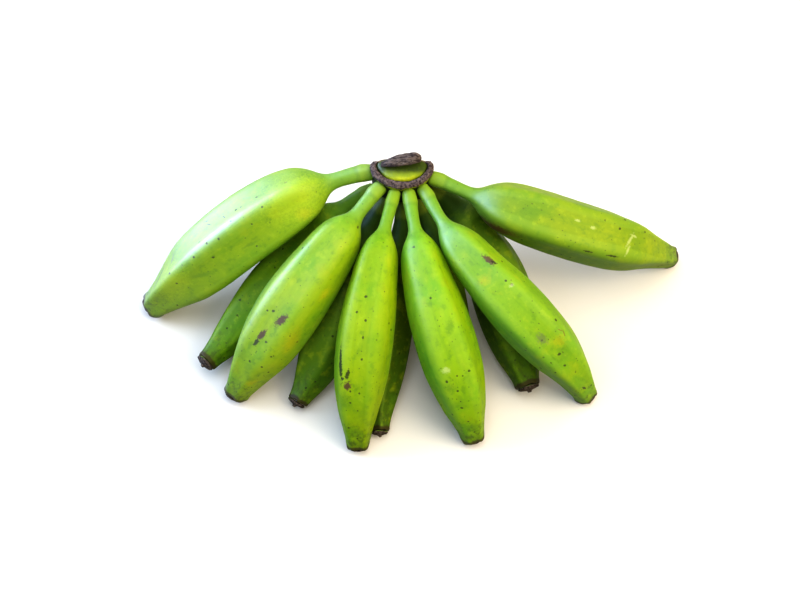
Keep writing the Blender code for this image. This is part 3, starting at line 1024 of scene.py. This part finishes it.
# PAD_SCAB_SHADOW is painted shadow, cast on the pad by the scab's raised lip.
PAD_YELLOW, PAD_GREEN, PAD_SCAB_SHADOW = tint("BCC61E"), tint("8A9C10"), tint("425410")
# PAD_PAINTED_SHADE is painted shade for the pad's low sides, which lie in shade between the stalks.
PAD_FIBRE, PAD_PAINTED_SHADE = tint("5F7F1C"), tint("26330C")
DRIED_DARK, DRIED_LIGHT = tint("3A2E20"), tint("94805A")
GREEN_FROM, GREEN_FULL = 0.0042, 0.0075
SCAB_SHADOW_FROM, SCAB_SHADOW_FULL = 0.0072, 0.0112
SIDE_SHADE_FROM, SIDE_SHADE_FULL = 0.0040, 0.0070
BACK_FROM, BACK_FULL = 0.0050, 0.0030
BAND_WANDER = 0.004
FIBRE_FROM, FIBRE_FULL, FIBRE_STRENGTH = 0.50, 0.75, 0.3
WRINKLE_FROM, WRINKLE_FULL, WRINKLE_HEIGHT = 0.38, 0.62, 3.0
PAD_ROUGHNESS, FIBRE_ROUGHNESS = 0.50, 0.15
PAD_SHEEN = 0.20
PAD_BUMP = 0.0003


def crown_tissue():
    """The pad's finish, from its green front to its dried back."""
    finish = Finish("crown_tissue")
    place = finish.place()
    fibres = finish.clouds(place, PAD_FIBRES)
    wrinkles = finish.clouds(place, PAD_WRINKLES)
    wander = (finish.clouds(place, PAD_PATCHES) - 0.5) * BAND_WANDER
    depth = finish.node("ShaderNodeSeparateXYZ", {}, {0: place}, "Y") + wander
    height = finish.node("ShaderNodeSeparateXYZ", {}, {0: place}, "Z") + wander
    green = finish.fade(depth, crown_low.y + GREEN_FROM, crown_low.y + GREEN_FULL)
    # Painted shadow: the band next to the scab is darkened as the scab's raised lip shades it.
    dark = finish.fade(depth, crown_low.y + SCAB_SHADOW_FROM, crown_low.y + SCAB_SHADOW_FULL)
    # Painted shade: the pad's sides darken downwards from its top, where they lie in shade between the
    # stalks.
    painted_side_shade = finish.fade(height, crown_high.z - SIDE_SHADE_FROM, crown_high.z - SIDE_SHADE_FULL)
    back = finish.fade(depth, crown_high.y - BACK_FROM, crown_high.y - BACK_FULL)
    colour = finish.blend(green, PAD_YELLOW, PAD_GREEN)
    colour = finish.blend(dark, colour, PAD_SCAB_SHADOW)
    colour = finish.blend(finish.fade(fibres, FIBRE_FROM, FIBRE_FULL) * FIBRE_STRENGTH, colour, PAD_FIBRE)
    colour = finish.blend(painted_side_shade, colour, PAD_PAINTED_SHADE)
    dried = finish.blend(finish.fade(wrinkles, WRINKLE_FROM, WRINKLE_FULL), DRIED_DARK, DRIED_LIGHT)
    finish.set("Base Color", finish.blend(back, colour, dried))
    finish.set("Roughness", PAD_ROUGHNESS + fibres * FIBRE_ROUGHNESS)
    finish.set("Specular IOR Level", PAD_SHEEN)
    finish.bump(fibres + back * wrinkles * WRINKLE_HEIGHT, PAD_BUMP)
    return finish.material


rough_pieces["crown_pad"].data.materials.append(crown_tissue())
print("crown pad:", rough_pieces["crown_pad"].data.materials[0].name)

# %% [markdown]
# ## Cork and scab
#
# Cork is a dull purple-brown with paler grains and dark pores. The scab is grey-brown, and its grain is
# drawn out along it like wrinkles. The flower ends are cork too, greener where they meet the peel. One
# function makes the cork, and what differs is passed to it.

# %% Cork finishes
CORK_DETAIL, CORK_GRAIN_ROUGHNESS = 5.0, 0.70
CORK_LIGHT_FROM, CORK_LIGHT_FULL = 0.38, 0.62
PORE_SHARE = 1.3
PORE_OUTER, PORE_INNER, PORE_STRENGTH = 0.25, 0.08, 0.6
PORE_EDGE, PORE_DEPTH = 0.3, 0.5
PORE_TINT = tint("1E1714")
CORK_ROUGHNESS, GRAIN_ROUGHNESS = 0.80, 0.15
CORK_SHEEN = 0.15
CORK_BUMP = 0.0005
TIP_EDGE = Grain(EVEN, 500.0, 3.0, 0.50)
TIP_EDGE_MM = 1.2
TIP_GREEN_FROM_MM, TIP_GREEN_FULL_MM, TIP_GREEN_STRENGTH = 0.6, 0.2, 0.92
TIP_GREEN = tint("76A022")


def cork(name, dark, light, scale, stretch=EVEN):
    """A cork finish and its colour, which is not yet linked so that more can be laid over it."""
    finish = Finish(name)
    place = finish.stretch(finish.place(), stretch)
    grain = finish.clouds(place, Grain(EVEN, scale, CORK_DETAIL, CORK_GRAIN_ROUGHNESS))
    pores = finish.cells(place, scale * PORE_SHARE)
    colour = finish.blend(finish.fade(grain, CORK_LIGHT_FROM, CORK_LIGHT_FULL), tint(dark), tint(light))
    colour = finish.blend(finish.fade(pores, PORE_OUTER, PORE_INNER) * PORE_STRENGTH, colour, PORE_TINT)
    finish.set("Roughness", CORK_ROUGHNESS + grain * GRAIN_ROUGHNESS)
    finish.set("Specular IOR Level", CORK_SHEEN)
    finish.bump(grain - finish.fade(pores, PORE_EDGE, 0.0) * PORE_DEPTH, CORK_BUMP)
    return finish, colour


rim_finish, rim_colour = cork("rim_cork", "372B2B", "7E6E68", 650.0)
rim_finish.set("Base Color", rim_colour)
rim.data.materials.append(rim_finish.material)

scab_finish, scab_colour = cork("dried_scab", "352C2A", "7A6C64", 520.0, (0.35, 1.0, 1.0))
scab_finish.set("Base Color", scab_colour)
scab.data.materials.append(scab_finish.material)

tip_finish, tip_colour = cork("tip_cork", "2A201A", "75675A", 800.0)
tip_wander = (tip_finish.clouds(tip_finish.place(), TIP_EDGE) - 0.5) * TIP_EDGE_MM
from_peel = tip_finish.stored("beyond_mm") + tip_wander
near_peel = tip_finish.fade(from_peel, TIP_GREEN_FROM_MM, TIP_GREEN_FULL_MM)
tip_colour = tip_finish.blend(near_peel * TIP_GREEN_STRENGTH, tip_colour, TIP_GREEN)
tip_finish.set("Base Color", tip_colour)
for name in BANANAS:
    rough_pieces["cork_tip_" + name].data.materials.append(tip_finish.material)
print("cork finishes:", rim_finish.material.name, scab_finish.material.name, tip_finish.material.name)

# %% [markdown]
# ## Floor
#
# The photograph was taken on plain white. The floor is wide enough to reach the horizon, and bright
# enough to fade into the background. Light that it would throw back onto the fruit is left out, because
# so wide and white a floor washes out the shaded sides. The sky's lower half gives that light instead.
# A faint warm glow is painted into the floor itself, which lifts and warms the shadows on it.

# %% Floor
FLOOR_SIZE = 60
FLOOR_TINT, FLOOR_PAINTED_GLOW_TINT = tint("E8E6E4"), tint("FFDDA8")
FLOOR_ROUGHNESS, FLOOR_SHEEN, FLOOR_PAINTED_GLOW = 0.9, 0.1, 0.04

bpy.ops.object.select_all(action="DESELECT")
bpy.ops.mesh.primitive_plane_add(size=FLOOR_SIZE, location=(0, 0, 0))
floor = bpy.context.active_object
floor.name = "floor"
paper = Finish("white_paper")
paper.set("Base Color", FLOOR_TINT)
paper.set("Roughness", FLOOR_ROUGHNESS)
paper.set("Specular IOR Level", FLOOR_SHEEN)
# Painted light: the floor's faint warm glow lifts and warms the shadows on it.
paper.set("Emission Color", FLOOR_PAINTED_GLOW_TINT)
paper.set("Emission Strength", FLOOR_PAINTED_GLOW)
floor.data.materials.append(paper.material)
floor.visible_diffuse = False
print("floor, metres:", FLOOR_SIZE)

# %% [markdown]
# ## Sky
#
# Soft daylight fills the room: cool from the left and warm from the right. It is a little weaker from the
# front, where the camera is, and dim and greenish from below.

# %% Sky
SKY_TOP = 0.95
SKY_RIM = 0.75
TOP_FROM, TOP_FULL = 0.1, 0.9
BELOW_TINT = (0.11, 0.13, 0.05, 1.0)
COOL_TINT = (0.68, 0.95, 1.24, 1.0)
WARM_TINT = (1.26, 0.97, 0.62, 1.0)
SIDE_BLEND = 0.7
HORIZON_BLEND = 0.02
FRONT_DIMMING = 0.22
FRONT_FROM, FRONT_FULL = 0.2, -0.6
GAMMA = 0.80

world = bpy.data.worlds.new("soft_daylight")
world.use_nodes = True
sky = Nodes(world.node_tree)
direction = sky.node("ShaderNodeTexCoord", {}, {}, "Generated")
sideways = sky.node("ShaderNodeSeparateXYZ", {}, {0: direction}, "X")
backwards = sky.node("ShaderNodeSeparateXYZ", {}, {0: direction}, "Y")
upwards = sky.node("ShaderNodeSeparateXYZ", {}, {0: direction}, "Z")
colour = sky.blend(sky.fade(sideways, -SIDE_BLEND, SIDE_BLEND), COOL_TINT, WARM_TINT)
colour = sky.blend(sky.fade(upwards, HORIZON_BLEND, -HORIZON_BLEND), colour, BELOW_TINT)
strength = SKY_RIM + (SKY_TOP - SKY_RIM) * sky.fade(upwards, TOP_FROM, TOP_FULL)
strength = strength * (1 - FRONT_DIMMING * sky.fade(backwards, FRONT_FROM, FRONT_FULL))
background = world.node_tree.nodes["Background"]
world.node_tree.links.new(colour.socket, background.inputs["Color"])
world.node_tree.links.new(strength.socket, background.inputs["Strength"])
bpy.context.scene.world = world
bpy.context.scene.view_settings.view_transform = "Standard"
bpy.context.scene.view_settings.gamma = GAMMA
print("sky:", world.name)

# %% [markdown]
# ## Lamps
#
# Large area lamps throw the soft shadows: a cool window on the left, a warmer glow on the right and a
# weak one overhead. Two more stand for the bright part of the window that the waxy skin mirrors. They
# light the sheen alone, because their full light would burn out the green round it.

# %% Lamps
Lamp = namedtuple("Lamp", "name place size power colour sheen_only")

LAMPS = [
    Lamp("window_left", (-1.05, 0.38, 0.70), 0.80, 9.5, (0.72, 0.88, 1.15), False),
    Lamp("window_sheen", (-1.00, 0.52, 0.46), 1.00, 66.0, (0.80, 0.90, 1.40), True),
    Lamp("upper_sheen", (-0.93, 0.06, 0.80), 0.55, 24.0, (0.55, 0.80, 1.80), True),
    Lamp("glow_right", (0.92, -0.28, 0.90), 0.90, 11.5, (1.10, 0.98, 0.74), False),
    Lamp("overhead", (0.00, 0.10, 1.30), 0.90, 5.5, (1.0, 1.0, 0.98), False),
]
for lamp in LAMPS:
    light = bpy.data.lights.new(lamp.name, "AREA")
    light.shape = "DISK"
    light.size = lamp.size
    light.energy = lamp.power
    light.color = lamp.colour
    holder = bpy.data.objects.new(lamp.name, light)
    bpy.context.scene.collection.objects.link(holder)
    holder.location = lamp.place
    holder.rotation_euler = (CAMERA_TARGET - holder.location).to_track_quat("-Z", "Y").to_euler()
    holder.visible_diffuse = not lamp.sheen_only
print(len(LAMPS), "lamps")
